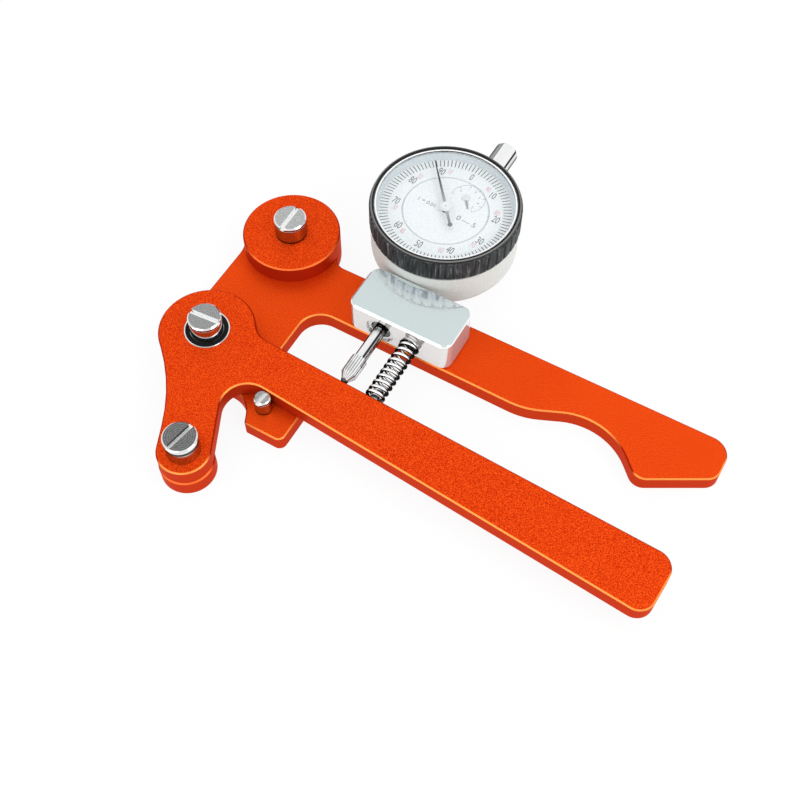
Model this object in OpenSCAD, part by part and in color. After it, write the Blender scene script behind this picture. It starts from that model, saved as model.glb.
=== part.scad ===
// Squeeze-type spoke tension meter, laid flat, in millimetres.
// The lever's pivot axis is X = Y = 0, the base plate's underside is Z = 0, and both handles run along +X.

/* [Base plate] */
// Thickness of the base plate
base_t = 5; // [4:0.5:6]
// Chamfer on the edges of both plates
edge_chamfer = 0.35; // [0.2:0.05:0.5]
// Radius of the plate under the pivot
pivot_pad_r = 12.2; // [11:0.1:12.4]
// Left edge of the web between pivot and head
web_left = -9.5; // [-10.5:0.1:-8.5]
// Right edge of the web, the bottom of the notch
web_right = 17.9; // [16:0.1:19]
// Head post from the pivot, along X
head_x = 1.5; // [0:0.1:3]
// Head post from the pivot, along Y
head_y = 38.5; // [37.5:0.1:40]
// Radius of the head lobe and of the disc on it
head_r = 13.4; // [12.5:0.1:14]
// Near edge of the base handle
grip_near = 22.5; // [22:0.1:23]
// Far edge of the base handle beside the head
grip_far = 38.1; // [37.8:0.1:38.4]
// Far edge of the base handle at its end
grip_tip_far = 39.3; // [38.8:0.1:41]
// End of the base handle
grip_end = 132.3; // [128:0.5:140]
// Corner radius in the root of the notch
notch_r = 6.5; // [4:0.5:7.5]
// Left edge of the stop tab
tab_left = 22.1; // [21.5:0.1:23]
// Right edge of the stop tab
tab_right = 33.2; // [31:0.1:36]
// Near edge of the stop tab
tab_near = -16.6; // [-18:0.1:-15.5]

/* [Finger hook] */
// Peak of the finger curve from the handle's end
hook_peak = 34.5; // [33:0.5:37]
// Depth of the finger curve into the handle
hook_depth = 5.5; // [4:0.1:6]
// Radius of the finger curve
hook_r = 17.5; // [15:0.5:19]
// Drop of the hook's toe below the handle's near edge
toe_drop = 4.8; // [3.5:0.1:5.5]
// Slope of the hook's end
toe_slope = 30; // [26:1:33]

/* [Lever] */
// Thickness of the lever
lever_t = 5; // [4.5:0.5:6]
// Running gap between base plate and lever
plate_gap = 0.2; // [0.15:0.05:0.4]
// Radius of the lever's pivot lobe
lobe_r = 12.8; // [12.6:0.1:13.4]
// Foot post from the pivot, along X
foot_x = 15.6; // [15:0.1:16.5]
// Foot post from the pivot, along -Y
foot_y = 32.5; // [31.5:0.1:34]
// Radius of the lever's foot end
foot_r = 6.9; // [6.5:0.1:7.2]
// Radius of the disc under the foot end
foot_disc_r = 7.1; // [6.8:0.1:7.5]
// End of the lever
lever_end = 132.7; // [128:0.5:140]
// Far edge of the lever beside the lobe
lever_far = 4.8; // [4.5:0.1:5.5]
// Far edge of the lever at its end
lever_tip_far = 1.1; // [0:0.1:2]
// Near edge of the lever beside the neck
lever_near = -7.2; // [-7.6:0.1:-6.8]
// Near edge of the lever at its end
lever_tip_near = -15.7; // [-17:0.1:-14]
// Radius in the corner of neck and handle
neck_r = 6.7; // [5:0.1:7]

/* [Posts] */
// Diameter of the three measuring posts
post_d = 8.8; // [8.5:0.1:9.2]
// Height of the head post above its disc
head_post_h = 5.9; // [5:0.1:8]
// Height of the pivot post above the lever
pivot_post_h = 5.6; // [5:0.1:8]
// Height of the foot post above the lever
foot_post_h = 6.5; // [5:0.1:8]
// Diameter of the posts' threaded shanks
shank_d = 5; // [4:0.5:6]
// Width of the screwdriver slots
slot_w = 1.3; // [1:0.1:1.6]
// Depth of the screwdriver slots
slot_depth = 1.1; // [0.8:0.1:1.6]
// Diameter of the stop pin
stop_d = 4.4; // [4:0.1:5]

/* [Bearing] */
// Bore of the pivot bearing
bearing_bore = 8; // [7.6:0.2:8.2]
// Outside diameter of the pivot bearing
bearing_od = 12; // [11.9:0.1:12.2]
// Width of the pivot bearing
bearing_w = 3.5; // [3:0.1:3.6]
// Number of balls in the bearing
ball_count = 11; // [9:1:12]

/* [Indicator block] */
// Left side of the block
block_left = 29.3; // [29:0.1:30]
// Length of the block along the handle
block_w = 30; // [29:0.5:32]
// Depth of the block across the handle
block_d = 14.5; // [13.5:0.1:14.6]
// Height of the block above the base plate
block_h = 10; // [9.5:0.5:12]
// Corner radius of the block
block_r = 2.8; // [1.5:0.1:3]
// Diameter of the block's screws
block_screw_d = 3; // [2.5:0.5:3]

/* [Return spring] */
// Spring axis from the pivot along X
spring_x = 48; // [47.8:0.1:49]
// Outside diameter of the spring
spring_od = 5.4; // [5:0.1:5.6]
// Wire diameter of the spring
spring_wire = 0.9; // [0.7:0.05:1]
// Number of coils
spring_turns = 15; // [12:1:18]
// Depth of the spring's pocket in the block
pocket_depth = 9; // [7:0.5:11]

/* [Dial indicator] */
// Spindle axis from the pivot along X
gauge_x = 39.1; // [38.9:0.1:39.4]
// Spindle axis above the base plate's underside
gauge_z = 9.2; // [9:0.1:9.5]
// Gap between the block and the indicator's case
case_gap = 0.3; // [0.2:0.1:1]
// Diameter of the bezel over its ribs
bezel_d = 40.8; // [40.6:0.1:41]
// Height of the bezel
bezel_h = 7.3; // [7:0.1:7.6]
// Underside of the bezel above the ground
bezel_z = 17.9; // [17.7:0.1:18.4]
// Number of grip ribs round the bezel
rib_count = 44; // [24:2:48]
// Step from the bezel's side in to the case
case_step = 0.3; // [0.1:0.05:0.6]
// Wall of the case
case_wall = 1.5; // [1.2:0.1:1.8]
// Rounding of the case's back edge
case_round = 5.6; // [4.5:0.1:6]
// Diameter of the stem clamped in the block
stem_d = 8; // [7.6:0.1:8.2]
// Diameter of the spindle
spindle_d = 3.4; // [3.2:0.1:3.6]
// Diameter of the contact point's knurled sleeve
contact_d = 4.4; // [4:0.1:4.8]
// Diameter of the rear tube
tube_d = 6.8; // [6.4:0.1:7]
// End of the rear tube beyond the dial's centre
tube_end = 38; // [37:0.5:42]

/* [Gear train] */
// Pitch of the rack
rack_pitch = 0.625; // [0.6:0.005:0.63]
// Offset of the counter hand from the dial's centre, along X
counter_x = 2.7; // [2.6:0.1:2.9]
// Offset of the counter hand from the dial's centre, along Y
counter_y = 6.4; // [6.2:0.1:6.6]

/* [Hands] */
// Length of the main hand from its hub
hand_len = 16.6; // [15:0.1:17]
// Rest angle of the main hand, anticlockwise from +Y
hand_angle = 39; // [0:1:359]
// Rest angle of the counter hand, anticlockwise from +Y
counter_angle = -145; // [-180:1:180]

/* [Hidden] */

// Fits
fit_gap = 0.05;      // radial, screw or pin in its hole
run_gap = 0.06;      // radial, a shaft that turns or slides
eps = 0.01;
$fn = 48;

// Levels
lever_z = base_t + plate_gap;
lever_top = lever_z + lever_t;
disc_t = lever_top - base_t;
bearing_z = lever_top - bearing_w;

// Dial indicator
bezel_top = bezel_z + bezel_h;
bezel_r = bezel_d / 2;
case_r = bezel_r - case_step;
dial_y = grip_near + block_d + case_gap + case_r;
case_back = 4.4;
rim_r = case_r - 1.2;
case_inner_r = rim_r - case_wall;
cover_r = case_r - case_round - 0.3;
cover_t = 0.9;
back_screw_r = 0.5;
back_screw_len = 2;
back_head_r = 0.92;
back_head_t = 0.42;
back_screw_ring = cover_r - 1.3;
clip_z = bezel_z + 1.6;
clip_gap = 0.9;
ledge_z = bezel_top - 3.8;
dial_z = ledge_z + 0.5;
dial_ring_r = rim_r - 0.1;
dial_split_r = 11.7;
window_r = bezel_r - 1.3;
crystal_t = 1;
crystal_z = bezel_top - 0.35 - crystal_t;
arbor_top = crystal_z - 0.15;
counter_hand_z = dial_z + 0.15;
counter_hub_h = 0.4;
counter_top = counter_hand_z + counter_hub_h;
spindle_r = spindle_d / 2;
stem_front = grip_near + 0.6;
stem_inner = dial_y - rim_r + 1.6;
tube_y = dial_y + tube_end;
tube_wall = 0.8;
tip_r = 1.1;
contact_len = 5.2;
tip_gap = 0.04;
spindle_front = 12.2;
spindle_rear = dial_y + case_r + 2.5;
stud_r = 1.25;
stud_len = 3;
travel = 5;

// Gear train
rack_teeth = 16;
wheel_teeth = 80;
pinion_teeth = 8;
rack_r = rack_teeth * rack_pitch / (2 * PI);
centre_distance = norm([counter_x, counter_y]);
wheel_r = centre_distance * wheel_teeth / (wheel_teeth + pinion_teeth);
pinion_r = centre_distance - wheel_r;
mesh_angle = atan2(counter_y, counter_x);
wheel_z = gauge_z + spindle_r + 2.4;
wheel_t = 0.5;
plate_z = bezel_z - 1.9;
plate_t = 1;
bridge_z = gauge_z + spindle_r + 0.5;
arbor_r = 0.6;
rack_depth = 0.2;

// Edges of the lever's handle
lever_root = 12.7;
function along(x) = (x - lever_root) / (lever_end - lever_root);
function far_edge(x) = lever_far + (lever_tip_far - lever_far) * along(x);
function near_edge(x) = lever_near + (lever_tip_near - lever_near) * along(x);
stop_x = 24;
stop_y = near_edge(stop_x) - stop_d / 2 - 0.15;
spring_z = lever_z + lever_t / 2 + 0.7;
spring_start = far_edge(spring_x) + 0.3;
spring_end = grip_near + pocket_depth - 0.1;
spring_len = spring_end - spring_start - spring_wire;

// ---- outline helpers: corners are [x, y, radius], anticlockwise ----
function unit(v) = v / norm(v);
function xy(p) = [p[0], p[1]];
function left_of(v) = [-v[1], v[0]];

// Corner of the tangent polygon round a lobe, between the tangent points at two angles
function around(x, y, r, a1, a2) =
    let (m = (a1 + a2) / 2, d = r / cos((a2 - a1) / 2)) [x + d * cos(m), y + d * sin(m), r];

// Where the tangent of a lobe at one angle crosses the line X = c or Y = c
function tangent_to_x(x, y, r, a, c, fillet) =
    let (t = (c - x - r * cos(a)) / -sin(a)) [c, y + r * sin(a) + t * cos(a), fillet];
function tangent_to_y(x, y, r, a, c, fillet) =
    let (t = (c - y - r * sin(a)) / cos(a)) [x + r * cos(a) - t * sin(a), c, fillet];

// Crossing of two lines, each given by a point and a heading
function crossing(p, a, q, b, fillet) =
    let (u = [cos(a), sin(a)], w = [cos(b), sin(b)], d = q - p,
         t = (d[0] * w[1] - d[1] * w[0]) / (u[0] * w[1] - u[1] * w[0]))
    [p[0] + t * u[0], p[1] + t * u[1], fillet];

// Points of the arc that rounds corner q between its neighbours p and s
function corner_arc(p, q, s, step = 5) =
    q[2] == 0 ? [xy(q)] :
    let (u = unit(xy(p) - xy(q)), w = unit(xy(s) - xy(q)),
         half = acos(max(-1, min(1, u * w))) / 2,
         centre = xy(q) + unit(u + w) * q[2] / sin(half),
         first = xy(q) + u * q[2] / tan(half) - centre,
         bend = (u[0] * w[1] - u[1] * w[0]) > 0 ? -1 : 1,
         sweep = bend * (180 - 2 * half),
         n = max(2, ceil(abs(sweep) / step)),
         start = atan2(first[1], first[0]))
    [for (i = [0 : n]) centre + q[2] * [cos(start + sweep * i / n), sin(start + sweep * i / n)]];

function outline(corners) =
    let (n = len(corners),
         raw = [for (i = [0 : n - 1])
             each corner_arc(corners[(i + n - 1) % n], corners[i], corners[(i + 1) % n])],
         m = len(raw))
    [for (i = [0 : m - 1]) if (norm(raw[i] - raw[(i + m - 1) % m]) > 0.02) raw[i]];

// The same outline moved inwards
function inset(pts, d) =
    let (n = len(pts))
    [for (i = [0 : n - 1])
        let (a = left_of(unit(pts[i] - pts[(i + n - 1) % n])), b = left_of(unit(pts[(i + 1) % n] - pts[i])))
        pts[i] + (a + b) * d / (1 + a * b)];

function level(pts, z) = [for (p = pts) [p[0], p[1], z]];

// Ring that cuts the chamfer off an outline's edge; side is 1 at a top edge and -1 at a bottom edge
module chamfer_ring(pts, z, chamfer, side) {
    over = 0.2;
    n = len(pts);
    points = concat(level(inset(pts, chamfer + over), z + side * over),
                    level(inset(pts, -over), z - side * (chamfer + over)),
                    level(inset(pts, -over), z + side * over));
    polyhedron(points, [for (k = [0 : 2]) for (i = [0 : n - 1])
        let (j = (i + 1) % n, m = (k + 1) % 3)
        side > 0 ? [k * n + i, m * n + i, m * n + j, k * n + j]
                 : [k * n + i, k * n + j, m * n + j, m * n + i]]);
}

// Flat plate with chamfered edges
module plate(pts, z, t, chamfer) {
    difference() {
        translate([0, 0, z]) linear_extrude(t) polygon(pts);
        chamfer_ring(pts, z + t, chamfer, 1);
        chamfer_ring(pts, z, chamfer, -1);
    }
}

// Solid of revolution about Z from [radius, z] points
module turned(points, faces = 96) {
    rotate_extrude($fn = faces) polygon(points);
}

// Cylinder about an axis along +Y
module rod_y(x, y, z, r, length) {
    translate([x, y, z]) rotate([-90, 0, 0]) cylinder(r = r, h = length);
}

// Round post with a chamfered, slotted head on a threaded shank
module slotted_post(d, z, h, shank, shank_z, slot_angle) {
    bevel = 0.4;
    difference() {
        union() {
            turned([[0, z], [d / 2, z], [d / 2, z + h - bevel], [d / 2 - bevel, z + h], [0, z + h]], 64);
            translate([0, 0, shank_z]) cylinder(d = shank, h = z - shank_z + eps);
        }
        rotate(slot_angle) translate([-d, -slot_w / 2, z + h - slot_depth])
            cube([2 * d, slot_w, slot_depth + 1]);
    }
}

// Coil spring of round wire along +Z, with closed ends
module coil(od, wire, length, turns, closed = 1, sides = 6, steps = 14) {
    r = (od - wire) / 2;
    n = turns * steps;
    function climb(t) = let (c = closed * wire, active = turns - 2 * closed)
        t < closed ? t * wire : t > turns - closed ? length - (turns - t) * wire
        : c + (t - closed) * (length - 2 * c) / active;
    function ring(i) = let (t = i / steps, a = 360 * t)
        [for (k = [0 : sides - 1]) let (b = 360 * k / sides, q = r + wire / 2 * cos(b))
            [q * cos(a), q * sin(a), climb(t) + wire / 2 * sin(b)]];
    points = [for (i = [0 : n]) each ring(i)];
    skin = [for (i = [0 : n - 1]) for (k = [0 : sides - 1])
        let (a = i * sides + k, b = i * sides + (k + 1) % sides) [a, b, b + sides, a + sides]];
    polyhedron(points, concat([[for (k = [sides - 1 : -1 : 0]) k]], skin,
        [[for (k = [0 : sides - 1]) n * sides + k]]));
}

// Outline of a gear with straight-flanked teeth; share is the tooth's part of the pitch at the pitch circle
function gear(teeth, r, depth, share = 0.4) =
    let (p = 360 / teeth, tip = p * share * 0.28, root = p * share * 0.8,
         low = r - depth, high = r + depth * 0.8,
         tooth = [[low, -root], [high, -tip], [high, tip], [low, root]])
    [for (i = [0 : teeth - 1]) for (q = tooth) q[0] * [cos(i * p + q[1]), sin(i * p + q[1])]];

// ---- plates ----
hook_rise = 24;
hook_fall = -45;
hook_peak_x = grip_end - hook_peak;
hook_mid = (hook_rise + hook_fall) / 2;
hook_centre = [hook_peak_x, grip_near + hook_depth - hook_r];
hook_top = around(hook_centre[0], hook_centre[1], hook_r, 90 + hook_fall, 90 + hook_rise);
hook_start = crossing([0, grip_near], 0, xy(hook_top), hook_rise, 20);
hook_toe = crossing(xy(hook_top), hook_fall, [grip_end - 18.5, grip_near - toe_drop], toe_slope, 3.8);

base_corners = [
    around(0, 0, pivot_pad_r, 160, 220),
    around(0, 0, pivot_pad_r, 220, 282),
    crossing([pivot_pad_r * cos(282), pivot_pad_r * sin(282)], 12, [tab_left, tab_near], -65, 8),
    [tab_left, tab_near, 0.8],
    [tab_right, tab_near, 2],
    [tab_right, -3, 3],
    [web_right, -3, 2],
    [web_right, grip_near, notch_r],
    hook_start,
    hook_top,
    hook_toe,
    [grip_end, hook_toe[1] + (grip_end - hook_toe[0]) * tan(toe_slope), 4],
    [grip_end, grip_tip_far, 5.2],
    tangent_to_y(head_x, head_y, head_r, 12, grip_far, 3.6),
    around(head_x, head_y, head_r, 12, 100),
    around(head_x, head_y, head_r, 100, 150),
    around(head_x, head_y, head_r, 150, 205),
    tangent_to_x(head_x, head_y, head_r, 205, web_left, 10),
    tangent_to_x(0, 0, pivot_pad_r, 160, web_left, 8),
];
lever_corners = [
    around(0, 0, lobe_r, 40, 120),
    around(0, 0, lobe_r, 120, 180),
    around(0, 0, lobe_r, 180, 229),
    crossing(lobe_r * [cos(229), sin(229)], -41,
             [foot_x + foot_r * cos(204), -foot_y + foot_r * sin(204)], -66, 54),
    around(foot_x, -foot_y, foot_r, 204, 280),
    around(foot_x, -foot_y, foot_r, 280, 386),
    crossing([foot_x + foot_r * cos(26), -foot_y + foot_r * sin(26)], 116,
             [lever_root, lever_near], atan2(lever_tip_near - lever_near, lever_end - lever_root), neck_r),
    [lever_end - 0.9, lever_tip_near, 4.2],
    [lever_end, lever_tip_far, 4.8],
    crossing(lobe_r * [cos(40), sin(40)], 130,
             [lever_root, lever_far], atan2(lever_tip_far - lever_far, lever_end - lever_root), 6),
];

block_corners = [
    [block_left, grip_near, block_r],
    [block_left + block_w, grip_near, block_r],
    [block_left + block_w, grip_near + block_d, block_r],
    [block_left, grip_near + block_d, block_r],
];
block_screw_x = [block_left + 3.1, block_left + block_w - 4.2];
block_screw_y = grip_near + 4.4;
block_screw_reach = 5.8;    // into the block
screw_floor = 0.1;
clamp_y = grip_near + block_d - 3.8;

blind_z = 0.8;        // floor of the posts' threaded holes
shank_z = blind_z + 0.1;

// Countersunk screw from its head's face up, or with a gap the hole for it
module countersunk(gap, length) {
    cylinder(r1 = block_screw_d + gap, r2 = block_screw_d / 2 + gap, h = block_screw_d / 2);
    cylinder(r = block_screw_d / 2 + gap, h = length);
}

module base_plate() {
    color("orangered") difference() {
        plate(outline(base_corners), 0, base_t, edge_chamfer);
        for (p = [[0, 0], [head_x, head_y]])
            translate([p[0], p[1], blind_z]) cylinder(d = shank_d + 2 * fit_gap, h = base_t);
        translate([stop_x, stop_y, blind_z]) cylinder(d = stop_d - 1.4 + 2 * fit_gap, h = base_t);
        for (x = block_screw_x) translate([x, block_screw_y, screw_floor]) {
            countersunk(fit_gap, base_t + 1);
            translate([0, 0, -1]) cylinder(r = block_screw_d + fit_gap, h = 1);
        }
    }
}

module head_disc() {
    color("orangered") translate([head_x, head_y, 0]) difference() {
        turned([[0, base_t], [head_r, base_t], [head_r, lever_top - edge_chamfer],
                [head_r - edge_chamfer, lever_top], [0, lever_top]]);
        translate([0, 0, base_t - 1]) cylinder(d = shank_d + 2 * fit_gap, h = disc_t + 2);
    }
}

module head_post() {
    color("silver") translate([head_x, head_y, 0])
        slotted_post(post_d, lever_top, head_post_h, shank_d, shank_z, 91);
}

module pivot_post() {
    color("silver") union() {
        slotted_post(post_d, lever_top, pivot_post_h, shank_d, shank_z, 5);
        translate([0, 0, bearing_z]) cylinder(d = bearing_bore - 2 * fit_gap, h = bearing_w + eps);
    }
}

module pivot_spacer() {
    color("silver") translate([0, 0, base_t]) difference() {
        cylinder(d = bearing_bore + 1, h = bearing_z - base_t);
        translate([0, 0, -1]) cylinder(d = shank_d + 2 * fit_gap, h = 5);
    }
}

module stop_pin() {
    color("silver") translate([stop_x, stop_y, 0])
        slotted_post(stop_d, base_t, lever_top - base_t, stop_d - 1.4, shank_z, 84);
}

module lever() {
    pin_depth = 6;
    color("orangered") difference() {
        plate(outline(lever_corners), lever_z, lever_t, edge_chamfer);
        translate([0, 0, bearing_z]) cylinder(d = bearing_od + 2 * fit_gap, h = bearing_w + 1);
        translate([0, 0, lever_z - 1]) cylinder(d = bearing_od - 1.6, h = lever_t);
        translate([foot_x, -foot_y, lever_z - 1]) cylinder(d = shank_d + 2 * fit_gap, h = lever_t + 2);
        rod_y(spring_x, far_edge(spring_x) - pin_depth, spring_pin_z, spring_pin_d / 2 + fit_gap,
              pin_depth + 3);
    }
}
spring_pin_d = 2.4;
spring_pin_z = lever_z + lever_t / 2 + 0.5;

module foot_disc() {
    color("orangered") translate([foot_x, -foot_y, 0]) difference() {
        turned([[0, 0], [foot_disc_r - edge_chamfer, 0], [foot_disc_r, edge_chamfer],
                [foot_disc_r, lever_z - edge_chamfer], [foot_disc_r - edge_chamfer, lever_z],
                [0, lever_z]]);
        translate([0, 0, -1]) cylinder(d = shank_d + 2 * fit_gap, h = lever_z + 2);
    }
}

module foot_post() {
    color("silver") translate([foot_x, -foot_y, 0])
        slotted_post(post_d, lever_top, foot_post_h, shank_d, 0.5, 80);
}

// Pressed into the lever's edge, it holds the spring's end
module spring_pin() {
    color("silver") rod_y(spring_x, far_edge(spring_x) - 5.5, spring_pin_z, spring_pin_d / 2, 9.5);
}

// ---- pivot bearing ----
inner_ring_r = bearing_bore / 2 + 0.45;
outer_ring_r = bearing_od / 2 - 0.55;
shield_seat_r = bearing_od / 2 - 0.3;
shield_depth = 0.15;
ball_path_r = (inner_ring_r + outer_ring_r) / 2;
ball_r = (outer_ring_r - inner_ring_r) / 2 + 0.2;
seal_t = 0.25;

module race(r1, r2) {
    difference() {
        translate([0, 0, bearing_z]) cylinder(r = r2, h = bearing_w);
        translate([0, 0, bearing_z - 1]) cylinder(r = r1, h = bearing_w + 2);
        translate([0, 0, bearing_z + bearing_w / 2])
            rotate_extrude($fn = 64) translate([ball_path_r, 0]) circle(r = ball_r + run_gap, $fn = 24);
    }
}

module bearing_outer_ring() {
    seat_depth = shield_depth + seal_t + 0.02;
    color("silver") difference() {
        race(outer_ring_r, bearing_od / 2);
        for (z = [bearing_z - 1, lever_top - seat_depth])
            translate([0, 0, z]) cylinder(r = shield_seat_r, h = seat_depth + 1);
    }
}

module bearing_inner_ring() {
    color("silver") race(bearing_bore / 2, inner_ring_r);
}

module bearing_balls() {
    color("gray") for (i = [0 : ball_count - 1]) rotate(i * 360 / ball_count)
        translate([ball_path_r, 0, bearing_z + bearing_w / 2]) sphere(r = ball_r, $fn = 24);
}

module bearing_seals() {
    levels = [bearing_z + shield_depth, lever_top - shield_depth - seal_t];
    color("black") for (z = levels) translate([0, 0, z]) difference() {
        cylinder(r = shield_seat_r - 0.01, h = seal_t);
        translate([0, 0, -1]) cylinder(r = inner_ring_r + 0.08, h = seal_t + 2);
    }
}

// ---- indicator block ----
module indicator_block() {
    color("gainsboro") difference() {
        plate(outline(block_corners), base_t, block_h, 0.5);
        rod_y(gauge_x, grip_near - 1, gauge_z, stem_d / 2 + fit_gap, block_d + 2);
        rod_y(spring_x, grip_near - 1, spring_z, spring_od / 2 + 0.2, pocket_depth + 1);
        for (x = block_screw_x) translate([x, block_screw_y, base_t - 1])
            cylinder(d = block_screw_d + 2 * fit_gap, h = block_screw_reach + 1.4);
        translate([block_left - 1, clamp_y, gauge_z]) rotate([0, 90, 0])
            cylinder(d = block_screw_d + 2 * fit_gap, h = gauge_x - block_left);
    }
}

// Countersunk, from the base plate's underside
module block_screws() {
    socket = 1.1;
    color("silver") for (x = block_screw_x) translate([x, block_screw_y, screw_floor]) difference() {
        countersunk(0, base_t + block_screw_reach);
        translate([0, 0, -1]) cylinder(r = socket, h = 2.2, $fn = 6);
    }
}

module clamp_screw() {
    color("dimgray") translate([block_left + 0.6, clamp_y, gauge_z]) rotate([0, 90, 0]) difference() {
        cylinder(d = block_screw_d, h = gauge_x - stem_d / 2 - block_left - 0.6);
        translate([0, 0, -1]) cylinder(r = 0.8, h = 2.4, $fn = 6);
    }
}

module return_spring() {
    color("silver") translate([spring_x, spring_start + spring_wire / 2, spring_z]) rotate([-90, 0, 0])
        coil(spring_od, spring_wire, spring_len, spring_turns);
}

// ---- dial indicator: case ----
case_arc = [for (i = [0 : 8]) let (a = -90 + 90 * (8 - i) / 8)
    [case_r - case_round + case_round * cos(a), case_back + case_round + case_round * sin(a)]];
cavity_z = case_back + case_wall;

// Outside of the case, with the rim that carries the bezel
module case_form() {
    turned(concat([[0, case_back], [0, ledge_z - 0.5], [rim_r, ledge_z - 0.5], [rim_r, bezel_z - 0.3],
                   [case_r, bezel_z - 0.3]], case_arc));
}

module indicator_case() {
    color("whitesmoke") translate([gauge_x, dial_y, 0]) difference() {
        case_form();
        turned([[0, cavity_z + 0.5], [case_inner_r - case_round + 1.5, cavity_z + 0.5],
                [case_inner_r, cavity_z + case_round - 0.6],
                [case_inner_r, ledge_z + 1], [0, ledge_z + 1]]);
        translate([0, 0, case_back - 1]) cylinder(r = cover_r, h = cover_t + 1, $fn = 96);
        translate([0, 0, case_back - 1]) cylinder(r = cover_r - 2.6, h = 4, $fn = 96);
        translate([0, 0, clip_z]) difference() {
            cylinder(r = rim_r + 1, h = clip_gap, $fn = 96);
            translate([0, 0, -1]) cylinder(r = rim_r - 0.5, h = 3, $fn = 96);
        }
        at_back_screws() translate([0, 0, case_back - 1])
            cylinder(r = back_screw_r + fit_gap, h = back_screw_len + 1.2);
        rotate([90, 0, 0]) translate([0, gauge_z, case_inner_r - 3])
            cylinder(r = stem_d / 2 - 0.9, h = 8);
        rotate([-90, 0, 0]) translate([0, -gauge_z, case_inner_r - 3])
            cylinder(r = tube_d / 2 - 0.6, h = 8);
    }
}

module at_back_screws() {
    for (a = [45 : 90 : 315]) rotate(a) translate([back_screw_ring, 0, 0]) children();
}

module back_cover() {
    color("silver") translate([gauge_x, dial_y, case_back]) difference() {
        cylinder(r = cover_r - fit_gap, h = cover_t, $fn = 96);
        at_back_screws() {
            translate([0, 0, -1]) cylinder(r = back_screw_r + fit_gap, h = cover_t + 2);
            translate([0, 0, -1]) cylinder(r = back_head_r + 0.08, h = back_head_t + 1.08);
        }
    }
}

module back_screws() {
    slot = 0.3;
    color("dimgray") translate([gauge_x, dial_y, case_back + 0.05]) at_back_screws() difference() {
        union() {
            cylinder(r = back_head_r, h = back_head_t);
            cylinder(r = back_screw_r, h = back_screw_len);
        }
        translate([-back_head_r, -slot / 2, -1]) cube([2 * back_head_r, slot, 1.2]);
    }
}

// Tube that the block clamps; it starts on the case wall and guides the spindle
module indicator_stem() {
    color("silver") difference() {
        rod_y(gauge_x, stem_front, gauge_z, stem_d / 2, dial_y - case_r + 3 - stem_front);
        rod_y(gauge_x, stem_front - 1, gauge_z, spindle_r + run_gap, dial_y);
        rod_y(gauge_x, stem_front - 1, gauge_z, spindle_r + 1.2, 4);
        translate([gauge_x, dial_y, 0]) case_form();
    }
}

// Closed tube for the spindle's rear end and its spring
module rear_tube() {
    root = dial_y + case_r - 3;
    color("silver") difference() {
        union() {
            rod_y(gauge_x, root, gauge_z, tube_d / 2, tube_y - root - 0.6);
            rod_y(gauge_x, tube_y - 1, gauge_z, tube_d / 2 - 0.4, 1);
        }
        rod_y(gauge_x, root - 1, gauge_z, tube_d / 2 - tube_wall, tube_y - root + 1 - tube_wall);
        translate([gauge_x, dial_y, 0]) case_form();
    }
}

// ---- dial indicator: movement ----
arbors = [[0, 0], [-counter_x, -counter_y], [counter_x, counter_y]];
pillar_r = 1.2;
pillars = [[9.5, -4], [-9.5, 4]];
bridge_t = 1;

module bridge_bar(p, q, r) {
    hull() for (end = [p, q]) translate([end[0], end[1], bridge_z]) cylinder(r = r, h = bridge_t, $fn = 32);
}

module movement_plate() {
    color("goldenrod") translate([gauge_x, dial_y, plate_z]) difference() {
        cylinder(r = case_inner_r - 0.05, h = plate_t, $fn = 96);
        for (p = arbors) translate([p[0], p[1], -1]) cylinder(r = arbor_r + run_gap, h = plate_t + 2);
    }
}

// Lower bridge over the spindle, held on two pillars under the plate
module movement_bridge() {
    color("goldenrod") translate([gauge_x, dial_y, 0]) difference() {
        union() {
            bridge_bar(pillars[0], pillars[1], pillar_r + 1);
            bridge_bar(arbors[0], arbors[1], arbor_r + 1.2);
            bridge_bar(arbors[0], arbors[2], arbor_r + 1.2);
            for (p = pillars)
                translate([p[0], p[1], bridge_z]) cylinder(r = pillar_r, h = plate_z - bridge_z);
        }
        for (p = arbors)
            translate([p[0], p[1], bridge_z - 1]) cylinder(r = arbor_r + run_gap, h = bridge_t + 2);
    }
}

// Sliding rod: guided by the stem in front and by its head in the rear tube, with the rack between them
module spindle() {
    pitch_x = rack_r - counter_x;
    tip_x = pitch_x - 0.8 * rack_depth;
    root_x = pitch_x + rack_depth;
    tip_gap_w = rack_pitch * 0.39;
    root_gap_w = rack_pitch * 0.18;
    reach = rack_r + 0.2;
    color("silver") difference() {
        union() {
            rod_y(gauge_x, spindle_front, gauge_z, spindle_r, spindle_rear - spindle_front);
            rod_y(gauge_x, spindle_rear - 2, gauge_z, tube_d / 2 - tube_wall - run_gap, 2);
        }
        translate([gauge_x, dial_y - counter_y, gauge_z - 3]) linear_extrude(6) {
            translate([-4, -travel - reach]) square([4 + tip_x, travel + 2 * reach]);
            for (i = [-floor((travel + 1) / rack_pitch) : 2]) translate([0, i * rack_pitch])
                polygon([[tip_x - eps, -tip_gap_w], [root_x, -root_gap_w],
                         [root_x, root_gap_w], [tip_x - eps, tip_gap_w]]);
        }
        rod_y(gauge_x, spindle_front - 1, gauge_z, stud_r + fit_gap, stud_len + 1.5);
    }
}

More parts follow.
